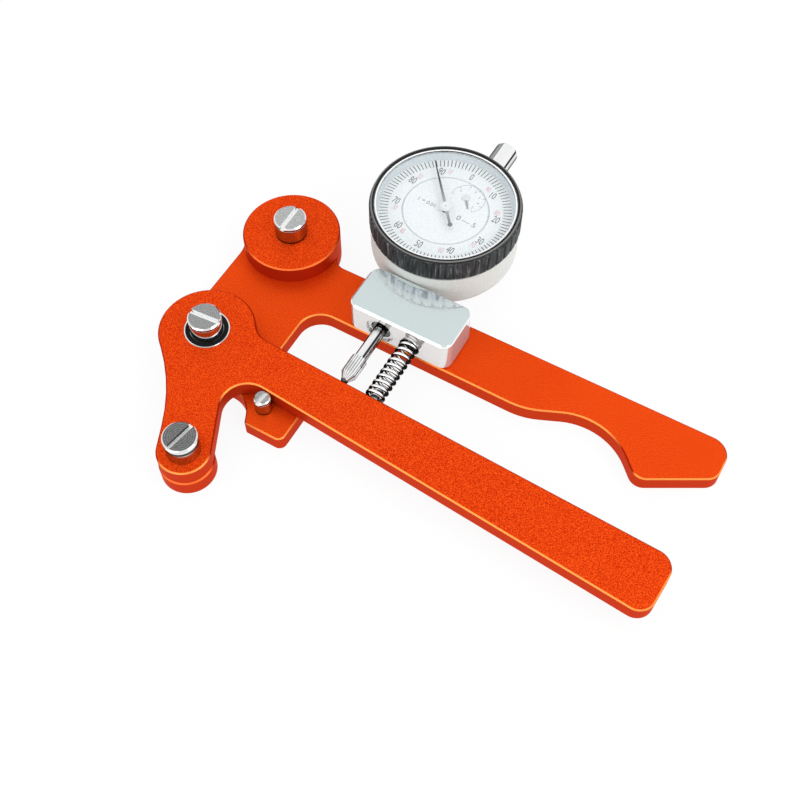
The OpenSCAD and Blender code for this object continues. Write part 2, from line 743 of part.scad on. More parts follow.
// Contact point: threaded stud, knurled sleeve, cone and ball
module contact_point() {
    tip_y = far_edge(gauge_x) + tip_gap;
    cone_y = tip_y + tip_r * 0.9;
    sleeve_y = cone_y + 1.9;
    flutes = 20;
    color("silver") difference() {
        union() {
            translate([gauge_x, tip_y + tip_r, gauge_z]) sphere(r = tip_r, $fn = 32);
            translate([gauge_x, cone_y, gauge_z]) rotate([-90, 0, 0])
                cylinder(r1 = tip_r * 0.95, r2 = contact_d / 2, h = sleeve_y - cone_y);
            rod_y(gauge_x, sleeve_y - eps, gauge_z, contact_d / 2, spindle_front - sleeve_y + eps - 0.02);
            rod_y(gauge_x, spindle_front - 0.5, gauge_z, stud_r, stud_len + 0.5);
        }
        for (i = [0 : flutes - 1]) translate([gauge_x, sleeve_y, gauge_z]) rotate([0, i * 360 / flutes, 0])
            rod_y(contact_d / 2 + 0.12, -0.1, 0, 0.24, 3, $fn = 16);
    }
}

module arbor(x, y, z1, z2) {
    translate([gauge_x + x, dial_y + y, z1]) cylinder(r = arbor_r, h = z2 - z1);
}

module wheel(x, y, z, teeth, r, depth, t, turn) {
    translate([gauge_x + x, dial_y + y, z]) rotate(turn) linear_extrude(t) polygon(gear(teeth, r, depth));
}

module rack_arbor() {
    color("gold") union() {
        arbor(-counter_x, -counter_y, gauge_z - 1.4, plate_z + plate_t);
        wheel(-counter_x, -counter_y, gauge_z - 1, rack_teeth, rack_r, rack_depth, 2, 0);
        wheel(-counter_x, -counter_y, wheel_z, wheel_teeth, wheel_r, 0.12, wheel_t, mesh_angle);
    }
}

module centre_arbor() {
    color("gold") union() {
        translate([gauge_x, dial_y, bridge_z + 0.1]) cylinder(r = 0.42, h = plate_z - bridge_z);
        arbor(0, 0, wheel_z + 1.4, arbor_top);
        wheel(0, 0, wheel_z - 0.4, pinion_teeth, pinion_r, 0.13, 1.4, mesh_angle + 180 / pinion_teeth);
    }
}

module counter_arbor() {
    color("gold") union() {
        arbor(counter_x, counter_y, bridge_z + 0.1, counter_top - 0.05);
        wheel(counter_x, counter_y, wheel_z, wheel_teeth, wheel_r, 0.12, wheel_t, mesh_angle + 180);
    }
}

// Takes up the play of the train: a flat spiral from the arbor out to the plate
module hairspring() {
    turns = 4;
    steps = 24;
    r1 = arbor_r + 0.25;
    pitch = 0.55;
    blade = 0.12;
    function at(i, d) = let (r = r1 + pitch * i / steps + d, a = 360 * i / steps) r * [cos(a), sin(a)];
    inner = [for (i = [0 : turns * steps]) at(i, 0)];
    outer = [for (i = [turns * steps : -1 : 0]) at(i, blade)];
    color("steelblue") translate([gauge_x + counter_x, dial_y + counter_y, plate_z - 1.1])
        linear_extrude(0.5) polygon(concat(inner, outer));
}

module plunger_spring() {
    start = spindle_rear + 0.1;
    length = tube_y - tube_wall - start - 0.6;
    color("silver") translate([gauge_x, start + 0.25, gauge_z]) rotate([-90, 0, 0])
        coil(tube_d - 2 * tube_wall - 0.5, 0.45, length, 11, steps = 10);
}

// ---- dial indicator: face ----
module dial_centre() {
    color("white") translate([gauge_x, dial_y, ledge_z]) difference() {
        union() {
            cylinder(r = dial_split_r - 0.1, h = dial_z - ledge_z, $fn = 96);
            translate([0, 0, -(ledge_z - plate_z - plate_t)]) difference() {
                cylinder(r = dial_split_r - 1, h = ledge_z - plate_z - plate_t + eps, $fn = 96);
                translate([0, 0, -1]) cylinder(r = dial_split_r - 2, h = 20, $fn = 96);
            }
        }
        for (p = [arbors[0], arbors[2]]) translate([p[0], p[1], -1]) cylinder(r = arbor_r + 0.3, h = 3);
    }
}

module dial_ring() {
    color("white") translate([gauge_x, dial_y, ledge_z]) difference() {
        cylinder(r = dial_ring_r, h = dial_z - ledge_z, $fn = 96);
        translate([0, 0, -1]) cylinder(r = dial_split_r, h = 3, $fn = 96);
    }
}

module bezel() {
    inner = dial_ring_r + 0.05;
    step_r = bezel_r - 0.35;
    flange_r = dial_ring_r - 1.2;
    color([0.1, 0.1, 0.1]) translate([gauge_x, dial_y, 0]) difference() {
        turned([[rim_r + 0.1, bezel_z], [bezel_r - 0.5, bezel_z], [bezel_r, bezel_z + 0.5],
                [bezel_r, bezel_top - 1.1], [step_r, bezel_top - 0.8], [step_r, bezel_top - 0.2],
                [step_r - 0.2, bezel_top], [window_r, bezel_top], [window_r, crystal_z],
                [inner, crystal_z], [inner, ledge_z - 0.05], [flange_r, ledge_z - 0.05],
                [flange_r, ledge_z - 0.35], [rim_r + 0.1, ledge_z - 0.35]], 144);
        for (i = [0 : rib_count - 1]) rotate((i + 0.5) * 360 / rib_count)
            translate([bezel_r + 0.1, 0, bezel_z - 1]) cylinder(r = 0.42, h = bezel_h - 0.4, $fn = 16);
        translate([0, 0, clip_z]) difference() {
            cylinder(r = rim_r + 0.45, h = clip_gap, $fn = 96);
            translate([0, 0, -1]) cylinder(r = rim_r - 1, h = 3, $fn = 96);
        }
    }
}

// Pale cone between crystal and dial
module glare_ring() {
    outer = dial_ring_r + 0.02;
    color("whitesmoke") translate([gauge_x, dial_y, 0])
        turned([[outer, dial_z + 0.02], [outer, crystal_z - 0.02], [outer - 0.25, crystal_z - 0.02],
                [outer - 0.95, dial_z + 0.15], [outer - 0.95, dial_z + 0.02]], 144);
}

// Wire ring that keeps the bezel on the case's rim
module bezel_clip() {
    color("silver") translate([gauge_x, dial_y, clip_z + clip_gap / 2])
        rotate_extrude($fn = 96) translate([rim_r - 0.05, 0]) circle(r = 0.3, $fn = 16);
}

module crystal() {
    color([0.85, 0.92, 0.95, 0.4]) translate([gauge_x, dial_y, crystal_z])
        cylinder(r = window_r - 0.03, h = crystal_t, $fn = 96);
}

// ---- hands ----
hand_t = 0.15;
hub_h = 0.4;
hand_z = crystal_z - hub_h - 0.1;

module main_hand() {
    tail = 6.2;
    color("black") translate([gauge_x, dial_y, 0]) rotate(hand_angle) difference() {
        union() {
            translate([0, 0, hand_z]) linear_extrude(hand_t) union() {
                polygon([[-0.45, 0], [0.45, 0], [0.1, hand_len], [-0.1, hand_len]]);
                polygon([[-0.45, 0], [-0.3, -tail], [0.3, -tail], [0.45, 0]]);
                translate([0, -tail]) circle(r = 0.65, $fn = 24);
                circle(r = 1.6, $fn = 32);
            }
            translate([0, 0, hand_z]) cylinder(r = 1.2, h = hub_h);
        }
        translate([0, 0, dial_z]) cylinder(r = arbor_r + 0.02, h = arbor_top - dial_z + eps);
    }
}

module counter_hand() {
    place = [gauge_x + counter_x, dial_y + counter_y, 0];
    color("black") translate(place) rotate(counter_angle) difference() {
        union() {
            translate([0, 0, counter_hand_z]) linear_extrude(hand_t) union() {
                polygon([[-0.3, 0], [0.3, 0], [0.1, 3.9], [-0.1, 3.9]]);
                circle(r = 1, $fn = 24);
            }
            translate([0, 0, counter_hand_z]) cylinder(r = 0.8, h = counter_hub_h);
        }
        translate([0, 0, dial_z]) cylinder(r = arbor_r + 0.02, h = 1);
    }
}

base_plate();
head_disc();
head_post();
pivot_post();
pivot_spacer();
stop_pin();
lever();
foot_disc();
foot_post();
spring_pin();
bearing_outer_ring();
bearing_inner_ring();
bearing_balls();
bearing_seals();
indicator_block();
block_screws();
clamp_screw();
return_spring();
indicator_case();
back_cover();
back_screws();
indicator_stem();
rear_tube();
movement_plate();
movement_bridge();
plunger_spring();
spindle();
contact_point();
rack_arbor();
centre_arbor();
counter_arbor();
hairspring();
dial_centre();
dial_ring();
bezel();
glare_ring();
bezel_clip();
crystal();
main_hand();
counter_hand();
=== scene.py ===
"""Looks of a squeeze-type spoke tension meter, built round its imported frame. Metres, +Z up."""

import math

import bmesh
import bpy
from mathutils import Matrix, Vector


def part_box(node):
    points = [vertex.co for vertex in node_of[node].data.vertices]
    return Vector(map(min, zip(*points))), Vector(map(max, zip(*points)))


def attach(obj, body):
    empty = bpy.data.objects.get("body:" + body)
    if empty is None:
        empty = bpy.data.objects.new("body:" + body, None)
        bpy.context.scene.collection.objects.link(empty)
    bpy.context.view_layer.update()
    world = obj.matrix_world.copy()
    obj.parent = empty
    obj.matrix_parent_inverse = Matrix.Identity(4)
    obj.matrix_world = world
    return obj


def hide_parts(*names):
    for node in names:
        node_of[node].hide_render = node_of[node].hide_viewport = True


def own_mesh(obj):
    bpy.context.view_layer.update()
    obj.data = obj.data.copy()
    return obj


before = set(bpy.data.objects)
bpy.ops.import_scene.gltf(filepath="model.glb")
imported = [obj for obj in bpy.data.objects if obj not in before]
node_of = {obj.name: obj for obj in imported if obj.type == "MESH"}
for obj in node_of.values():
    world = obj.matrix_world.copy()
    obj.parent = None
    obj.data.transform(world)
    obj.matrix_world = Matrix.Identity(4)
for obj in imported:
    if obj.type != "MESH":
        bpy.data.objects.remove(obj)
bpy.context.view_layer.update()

MM = 0.001

# ---- places, from the frame ----


def centre_of(node):
    low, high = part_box(node)
    return (low + high) / 2


def top_of(node):
    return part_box(node)[1].z


DIAL = centre_of("bezel")
DIAL_TOP = top_of("dial_ring")
COUNTER = Vector((DIAL.x + 2.7 * MM, DIAL.y + 6.4 * MM, DIAL_TOP))      # axis of the revolution hand
PRINT_LEVEL = DIAL_TOP + 0.02 * MM                                      # the print lies just above the dial

# ---- shader helpers ----

NOISE_RANGE = (0.3, 0.7)              # nearly all values of a noise lie between these
SKIN = 0.05 * MM                      # how far from a face's height a point still counts as on the face


def new_material(name):
    """A material with one Principled shader, and its node tree."""
    material = bpy.data.materials.new(name)
    material.use_nodes = True
    return material, material.node_tree


def find(tree, kind):
    return next(n for n in tree.nodes if n.type == kind)


def plug(tree, socket, value):
    """Gives a socket a constant, or a link from another socket."""
    if isinstance(value, bpy.types.NodeSocket):
        tree.links.new(value, socket)
    else:
        socket.default_value = value


def add(tree, kind, values=None, **settings):
    """Adds a shader node; values fill its sockets by name or number."""
    made = tree.nodes.new(kind)
    for key, value in settings.items():
        setattr(made, key, value)
    for key, value in (values or {}).items():
        plug(tree, made.inputs[key], value)
    return made


def set_shader(tree, **sockets):
    """Sets sockets of the Principled shader; underscores stand for spaces."""
    shader = find(tree, "BSDF_PRINCIPLED")
    for key, value in sockets.items():
        plug(tree, shader.inputs[key.replace("_", " ")], value)
    return shader


def calc(tree, operation, *values):
    return add(tree, "ShaderNodeMath", dict(enumerate(values)), operation=operation).outputs[0]


def vector_calc(tree, operation, *values, result="Vector"):
    made = add(tree, "ShaderNodeVectorMath", dict(enumerate(values)), operation=operation)
    return made.outputs[result]


def axes(tree, vector):
    """The X, Y and Z sockets of a vector."""
    return add(tree, "ShaderNodeSeparateXYZ", {"Vector": vector}).outputs


def coordinates(tree):
    return add(tree, "ShaderNodeTexCoord").outputs["Object"]


def stretched(tree, scale):
    """Coordinates in which a noise is drawn out along the axes with a small scale."""
    return vector_calc(tree, "MULTIPLY", coordinates(tree), scale)


def noise(tree, scale, detail=2.0, vector=None, roughness=0.5):
    return add(tree, "ShaderNodeTexNoise", {"Vector": vector or coordinates(tree), "Scale": scale,
                                            "Detail": detail, "Roughness": roughness}).outputs["Fac"]


def grey(value):
    return (value, value, value, 1)


def ramp(tree, factor, stops):
    """Colour ramp; stops are (position, colour)."""
    made = add(tree, "ShaderNodeValToRGB", {"Fac": factor})
    elements = made.color_ramp.elements
    while len(elements) < len(stops):
        elements.new(0.5)
    for element, (position, colour) in zip(elements, stops):
        element.position = position
        element.color = colour if len(colour) == 4 else (*colour, 1)
    return made.outputs["Color"]


def grey_ramp(tree, factor, *stops):
    return ramp(tree, factor, [(position, grey(value)) for position, value in stops])


def mapped(tree, factor, low, high, out_low, out_high):
    return add(tree, "ShaderNodeMapRange", {"Value": factor, "From Min": low, "From Max": high,
                                            "To Min": out_low, "To Max": out_high}).outputs["Result"]


def shade(tree, factor, dark, pale):
    """Colour that follows a noise."""
    return ramp(tree, factor, list(zip(NOISE_RANGE, (dark, pale))))


def spread(tree, factor, low, high):
    """Value that follows a noise."""
    return mapped(tree, factor, *NOISE_RANGE, low, high)


def mixed(tree, factor, first, second, blend="MIX"):
    """Mix of two colours, which are the mix node's sockets 6 and 7."""
    return add(tree, "ShaderNodeMix", {0: factor, 6: first, 7: second},
               data_type="RGBA", blend_type=blend).outputs[2]


def bump(tree, height, strength, distance):
    return add(tree, "ShaderNodeBump", {"Height": height, "Strength": strength,
                                        "Distance": distance}).outputs["Normal"]


def height_of(tree):
    return axes(tree, coordinates(tree))["Z"]


def radius_from(tree, centre):
    """Distance of the shaded point from an upright axis."""
    offset = vector_calc(tree, "SUBTRACT", coordinates(tree), (centre.x, centre.y, 0))
    flat = vector_calc(tree, "MULTIPLY", offset, (1, 1, 0))
    return vector_calc(tree, "LENGTH", flat, result="Value")


def facing(tree, direction):
    """Cosine between the surface and a direction."""
    normal = add(tree, "ShaderNodeNewGeometry").outputs["Normal"]
    length = math.hypot(*direction)
    return vector_calc(tree, "DOT_PRODUCT", normal, tuple(c / length for c in direction), result="Value")


def both(tree, first, second):
    """1 where two masks are 1."""
    return calc(tree, "MULTIPLY", first, second)


def between(tree, value, low, high):
    """1 where a value lies between two limits, else 0."""
    return both(tree, calc(tree, "GREATER_THAN", value, low), calc(tree, "LESS_THAN", value, high))


def lean_mask(tree, low, high):
    """1 on faces whose normal has an upright share between two limits, up or down."""
    normal = add(tree, "ShaderNodeNewGeometry").outputs["True Normal"]
    return between(tree, calc(tree, "ABSOLUTE", axes(tree, normal)["Z"]), low, high)


def chamfer_mask(tree):
    """1 on chamfers, which lean about 45 degrees."""
    return lean_mask(tree, 0.4, 0.9)


def wall_mask(tree):
    """1 on upright walls."""
    return lean_mask(tree, -1, 0.3)


def ray_share(tree, *kinds):
    """1 for the named kinds of rays, 0 for the rest."""
    path = add(tree, "ShaderNodeLightPath").outputs
    share = path[kinds[0]]
    for kind in kinds[1:]:
        share = calc(tree, "MAXIMUM", share, path[kind])
    return share


# ---- orange plates and discs ----

ORANGE = (0.79, 0.046, 0.0035, 1)
ORANGE_DARK = (0.46, 0.016, 0.0012, 1)
ORANGE_LIGHT = (1.0, 0.115, 0.011, 1)
# painted shade: upright walls get this darker, duller orange
WALL_SHADE_ORANGE = (0.58, 0.044, 0.0075, 1)
# painted highlight: the colours of chamfers that face the lit side
CHAMFER_HIGHLIGHT_ORANGE = (0.96, 0.31, 0.07, 1)
DISC_CHAMFER_HIGHLIGHT = (0.92, 0.17, 0.035, 1)
CHAMFER_SHADE = (0.38, 0.016, 0.001, 1)
EDGE_TINT = (1.0, 0.40, 0.16, 1)      # what the orange reflects at grazing angles
RETURNED = 0.62                       # share of the orange's colour that its neighbours get back
HIGHLIGHT_SIDE = (0.6, -0.8, 0)                # chamfers that face this way get a painted highlight, the others painted shade
CLOUDS = 0.12                         # how much paler the palest patches are


def anodised_orange(name, chamfer_highlight, haze):
    """Bead-blasted, anodised aluminium, paler all over by its haze; painted shade darkens its upright walls,
    and its chamfers get a painted highlight where they face the lit side and painted shade elsewhere.
    """
    material, tree = new_material(name)
    grain = noise(tree, 3800, roughness=0.85)
    patches = noise(tree, 60)
    blasted = ramp(tree, grain, [(0.40, ORANGE_DARK), (0.5, ORANGE), (0.61, ORANGE_LIGHT)])
    clouded = mixed(tree, spread(tree, patches, haze, haze + CLOUDS), blasted, ORANGE_LIGHT)
    # painted shade: upright walls are coloured darker
    wall_shaded = mixed(tree, wall_mask(tree), clouded, WALL_SHADE_ORANGE)
    # painted highlight and shade on chamfers, by the way they face
    painted_chamfer_light = ramp(tree, facing(tree, HIGHLIGHT_SIDE), [(0.2, CHAMFER_SHADE), (0.42, chamfer_highlight)])
    colour = mixed(tree, chamfer_mask(tree), wall_shaded, painted_chamfer_light)
    dimmed = mixed(tree, 1.0, colour, grey(RETURNED), "MULTIPLY")
    shown = mixed(tree, ray_share(tree, "Is Glossy Ray", "Is Diffuse Ray"), colour, dimmed)
    set_shader(tree, Base_Color=shown, Metallic=0.7, Roughness=spread(tree, grain, 0.38, 0.52),
               Normal=bump(tree, grain, 0.4, 0.04 * MM), Specular_IOR_Level=0.15, Specular_Tint=EDGE_TINT)
    return material


# ---- metals ----

STEEL = (0.74, 0.75, 0.76, 1)
BRASS = (0.78, 0.57, 0.25, 1)
DARK_EDGE = (0.15, 0.15, 0.15, 1)     # what slim steel reflects at grazing angles
SLOT_DEPTH = 1.1 * MM                 # of the posts' slots
SLOT_REACH = 0.86                     # share of a post's radius inside which a wall belongs to its slot
SLOT_GREY = 0.92
# Greys up a post's side: (share of the height above what it stands on, grey). The dark band at the foot is a
# painted shadow; the dark band under the rim and the pale one above it are a painted reflection.
POST_SHADE_AND_HIGHLIGHT_BANDS = ((0.06, 0.03), (0.10, 0.62), (0.78, 0.72), (0.81, 0.03), (0.87, 0.03), (0.90, 0.80))


def plain_metal(name, colour, roughness):
    """Metal with faint marks from its making."""
    material, tree = new_material(name)
    marks = noise(tree, 900, 4.0)
    dark = tuple(c * 0.86 for c in colour[:3])
    set_shader(tree, Base_Color=shade(tree, marks, dark, colour), Metallic=1.0,
               Roughness=spread(tree, marks, roughness - 0.04, roughness + 0.06),
               Normal=bump(tree, marks, 0.08, 0.01 * MM))
    return material


def turned_steel(name, node, stands_on, ring_pitch, depth, lit_end_grey, slot_wall_shade):
    """A post's steel: lathe rings on its end, a painted shadow round its foot, a painted dark line and
    highlight under its rim, and a milled slot.

    depth is how strongly the rings show; the next number is the grey of the end, set for each post as painted
    light for how bright its end looks, and the last is the grey of the slot's walls, low where it is painted
    shade in the slot.
    """
    material, tree = new_material(name)
    centre, corner = centre_of(node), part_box(node)[1]
    top, rim = corner.z, corner.x - centre.x
    slot_floor = top - SLOT_DEPTH
    radius, height = radius_from(tree, centre), height_of(tree)
    rings = calc(tree, "SINE", calc(tree, "MULTIPLY", radius, math.tau / ring_pitch))
    # painted light: the end's grey is set per post for how bright it looks
    scuffed = grey_ramp(tree, noise(tree, 2600, 3.0), (0.35, lit_end_grey * 0.78), (0.65, lit_end_grey * 1.2))
    ringed = mixed(tree, mapped(tree, rings, -1, 1, 0.0, depth), scuffed, grey(lit_end_grey * 0.4))
    rise = mapped(tree, height, top_of(stands_on), top, 0.0, 1.0)
    end = calc(tree, "GREATER_THAN", height, top - SKIN)
    # painted shadow at the foot and painted reflection under the rim, up the post's side
    outside = mixed(tree, end, grey_ramp(tree, rise, *POST_SHADE_AND_HIGHLIGHT_BANDS), ringed)
    inside = between(tree, radius, 0, SLOT_REACH * rim)
    cut = both(tree, inside, between(tree, height, slot_floor, top - SKIN))
    # painted shade: dark slot walls where the slot is shaded
    walled = mixed(tree, cut, outside, grey(slot_wall_shade))
    slot = between(tree, height, slot_floor - SKIN, slot_floor + SKIN)
    set_shader(tree, Base_Color=mixed(tree, slot, walled, grey(SLOT_GREY)),
               Metallic=mapped(tree, slot, 0, 1, 1.0, 0.2), Roughness=mapped(tree, end, 0, 1, 0.1, 0.24),
               Normal=bump(tree, rings, depth, 0.02 * MM))
    return material


def satin_aluminium():
    """The block: fine satin that still mirrors what stands beside it, with a painted highlight along the
    lower part of its chamfers and its upright walls painted paler as lit.
    """
    material, tree = new_material("satin_aluminium")
    # painted light: the paler grey of the upright walls, and the painted highlight of the chamfers
    lit_wall_grey, chamfer_highlight_grey = (0.80, 0.79, 0.78, 1), (0.95, 0.95, 0.95, 1)
    grain = noise(tree, 3600, 3.0)
    colour = shade(tree, grain, (0.56, 0.635, 0.64, 1), (0.66, 0.73, 0.735, 1))
    lines = noise(tree, 1600, vector=stretched(tree, (1, 0.05, 0.05)))
    top = top_of("indicator_block")
    low_half = mapped(tree, height_of(tree), top - 0.22 * MM, top - 0.34 * MM, 0.0, 1.0)
    # painted light on upright walls
    walled = mixed(tree, wall_mask(tree), colour, lit_wall_grey)
    # painted highlight on the lower part of the chamfers
    chamfer_highlighted = mixed(tree, both(tree, chamfer_mask(tree), low_half), walled, chamfer_highlight_grey)
    set_shader(tree, Base_Color=chamfer_highlighted, Metallic=0.62, Roughness=mapped(tree, lines, 0.35, 0.65, 0.03, 0.16),
               Normal=bump(tree, grain, 0.06, 0.01 * MM))
    return material


def angle_about_y(tree, vector):
    """Angle of a vector round +Y: 0 for straight up, positive towards +X."""
    parts = axes(tree, vector)
    return calc(tree, "ARCTAN2", parts["X"], parts["Z"])


def drawn_rod(name, stops, roughness=0.12):
    """Polished rod along Y with painted reflections as lengthwise bands, placed from 0 on its -X side to 1 on
    its +X side.
    """
    material, tree = new_material(name)
    marks = noise(tree, 1500, 3.0)
    normal = add(tree, "ShaderNodeNewGeometry").outputs["Normal"]
    place = mapped(tree, angle_about_y(tree, normal), -math.pi / 2, math.pi / 2, 0.0, 1.0)
    round_side = between(tree, facing(tree, (0, 1, 0)), -0.6, 0.6)
    # painted reflections: lengthwise grey bands by the way the round side faces
    painted_reflection_bands = mixed(tree, round_side, grey(0.7), grey_ramp(tree, place, *stops))
    set_shader(tree, Base_Color=mixed(tree, spread(tree, marks, 0.0, 0.08), painted_reflection_bands, grey(0.4)), Metallic=1.0,
               Roughness=spread(tree, marks, roughness, roughness + 0.06), Specular_Tint=DARK_EDGE)
    return material


def wound_steel():
    """Spring wire with a painted highlight along its upper side and painted shade over the rest."""
    material, tree = new_material("wound_steel")
    marks = noise(tree, 2500)
    # painted highlight along the wire's upper side, painted shade elsewhere
    shine = grey_ramp(tree, facing(tree, (0.15, -0.30, 0.94)), (0.58, 0.012), (0.74, 0.95))
    set_shader(tree, Base_Color=shine, Metallic=0.9, Roughness=spread(tree, marks, 0.12, 0.2),
               Specular_Tint=DARK_EDGE)
    return material


def knurled_steel():
    """The contact point: a sleeve with fine lengthwise knurling, drawn as pale and dark stripes of painted
    light and shade, and a dark ball.
    """
    material, tree = new_material("knurled_steel")
    knurls = 20.0
    axis = centre_of("contact_point")
    offset = vector_calc(tree, "SUBTRACT", coordinates(tree), tuple(axis))
    # painted light and shade: pale ridges and dark grooves of the knurling
    ridge = calc(tree, "SINE", calc(tree, "MULTIPLY", angle_about_y(tree, offset), knurls))
    sleeve = grey_ramp(tree, mapped(tree, ridge, -1, 1, 0, 1), (0.15, 0.30), (0.45, 0.95))
    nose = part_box("contact_point")[0].y - axis.y
    past_ball = mapped(tree, axes(tree, offset)["Y"], nose + 0.7 * MM, nose + 1.1 * MM, 0.0, 1.0)
    set_shader(tree, Base_Color=mixed(tree, past_ball, grey(0.10), sleeve), Metallic=0.85, Roughness=0.18,
               Specular_Tint=DARK_EDGE)
    return material


def tipped_brass():
    """Brass below the dial, bright above it."""
    material, tree = new_material("tipped_brass")
    above = calc(tree, "GREATER_THAN", height_of(tree), DIAL_TOP - 0.3 * MM)
    set_shader(tree, Base_Color=mixed(tree, above, BRASS, grey(0.85)), Metallic=0.8, Roughness=0.3)
    return material


# ---- paints, plastics and glass ----

# painted reflections: the flank's streaks, and the bands that mirrors see on it
FLANK_REFLECTION_STREAKS = [(0.36, (0.010, 0.012, 0.013)), (0.60, (0.043, 0.048, 0.050)), (0.72, (0.19, 0.20, 0.205))]
MIRRORED_BANDS = [(0.45, (0.06, 0.07, 0.13)), (0.56, (0.66, 0.69, 0.76))]


def painted(name, colour, roughness, metallic=0.0, shine=0.5):
    """Paint or moulded plastic with a fine grain."""
    material, tree = new_material(name)
    grain = noise(tree, 1500, 3.0)
    dark = tuple(c * 0.9 for c in colour[:3])
    set_shader(tree, Base_Color=shade(tree, grain, dark, colour), Metallic=metallic, Specular_IOR_Level=shine,
               Roughness=spread(tree, grain, roughness - 0.03, roughness + 0.05),
               Normal=bump(tree, grain, 0.05, 0.01 * MM))
    return material


def ink(name, colour):
    return painted(name, colour, 0.5, shine=0.1)


def bezel_flank(tree, height):
    """Pale and dark vertical streaks, painted reflections on the flank; mirrored rays see paler bands, also
    painted reflections, that fade upwards, as the block shows them.
    """
    along = stretched(tree, (1, 1, 0.12))
    # painted reflections as vertical streaks
    reflection_streaks = ramp(tree, noise(tree, 1400, vector=along), FLANK_REFLECTION_STREAKS)
    painted_reflection_bands = ramp(tree, noise(tree, 700, vector=along), MIRRORED_BANDS)
    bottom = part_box("bezel")[0].z
    fade = mapped(tree, height, bottom + 2.4 * MM, bottom + 3.8 * MM, 0.0, 1.0)
    return mixed(tree, ray_share(tree, "Is Glossy Ray"), reflection_streaks, mixed(tree, fade, painted_reflection_bands, grey(0.85)))


def moulded_bezel():
    """Black moulding: flank with painted reflection streaks, a paler ridge round the lip as a painted
    highlight, and a pale seat under the crystal.
    """
    material, tree = new_material("moulded_bezel")
    radius, height = radius_from(tree, DIAL), height_of(tree)
    top, seat = top_of("bezel"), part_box("crystal")[0].z
    grain = noise(tree, 1800, 3.0)
    black = shade(tree, grain, grey(0.006), grey(0.014))
    side = calc(tree, "LESS_THAN", height, top - 0.7 * MM)
    # painted highlight: paler ridge round the lip
    ridge = both(tree, between(tree, radius, 19.60 * MM, 20.0 * MM),
                 between(tree, height, top - 0.3 * MM, top + MM))
    ledge = both(tree, between(tree, radius, 0, 19.08 * MM), between(tree, height, DIAL_TOP, seat + SKIN))
    outside = mixed(tree, ridge, mixed(tree, side, black, bezel_flank(tree, height)), grey(0.16))
    set_shader(tree, Base_Color=mixed(tree, ledge, outside, grey(0.8)), Specular_IOR_Level=0.18,
               Roughness=spread(tree, grain, 0.42, 0.55), Normal=bump(tree, grain, 0.12, 0.02 * MM))
    return material


def two_tone_hand(name, axis, hub_radius):
    """Dark hand that pales towards its bright hub, with a dark bore."""
    material, tree = new_material(name)
    radius = radius_from(tree, axis)
    bright = both(tree, calc(tree, "LESS_THAN", radius, hub_radius),
                  calc(tree, "GREATER_THAN", radius, 0.2 * MM))
    dark = shade(tree, noise(tree, 2500), grey(0.012), grey(0.03))
    blade = mixed(tree, mapped(tree, radius, 6 * hub_radius, hub_radius, 0.0, 0.85), dark, grey(0.42))
    set_shader(tree, Base_Color=mixed(tree, bright, blade, grey(0.82)), Roughness=0.35,
               Metallic=mapped(tree, bright, 0, 1, 0.0, 0.35))
    return material


def clear_glass():
    """The crystal: reflects more towards its edge, and lets diffuse light pass unreflected."""
    material, tree = new_material("clear_glass")
    tree.nodes.remove(find(tree, "BSDF_PRINCIPLED"))
    clear = add(tree, "ShaderNodeBsdfTransparent", {"Color": (0.985, 0.995, 1.0, 1)}).outputs[0]
    gloss = add(tree, "ShaderNodeBsdfGlossy", {"Roughness": 0.02}).outputs[0]
    slant = add(tree, "ShaderNodeLayerWeight", {"Blend": 0.5}).outputs["Facing"]
    mirror = mapped(tree, calc(tree, "POWER", slant, 4.0), 0, 1, 0.015, 0.6)
    reflects = mapped(tree, ray_share(tree, "Is Diffuse Ray"), 0, 1, 1.0, 0.0)
    share = calc(tree, "MULTIPLY", mirror, reflects)
    glass = add(tree, "ShaderNodeMixShader", {0: share, 1: clear, 2: gloss}).outputs[0]
    plug(tree, find(tree, "OUTPUT_MATERIAL").inputs["Surface"], glass)
    return material


# ---- which material each node has ----

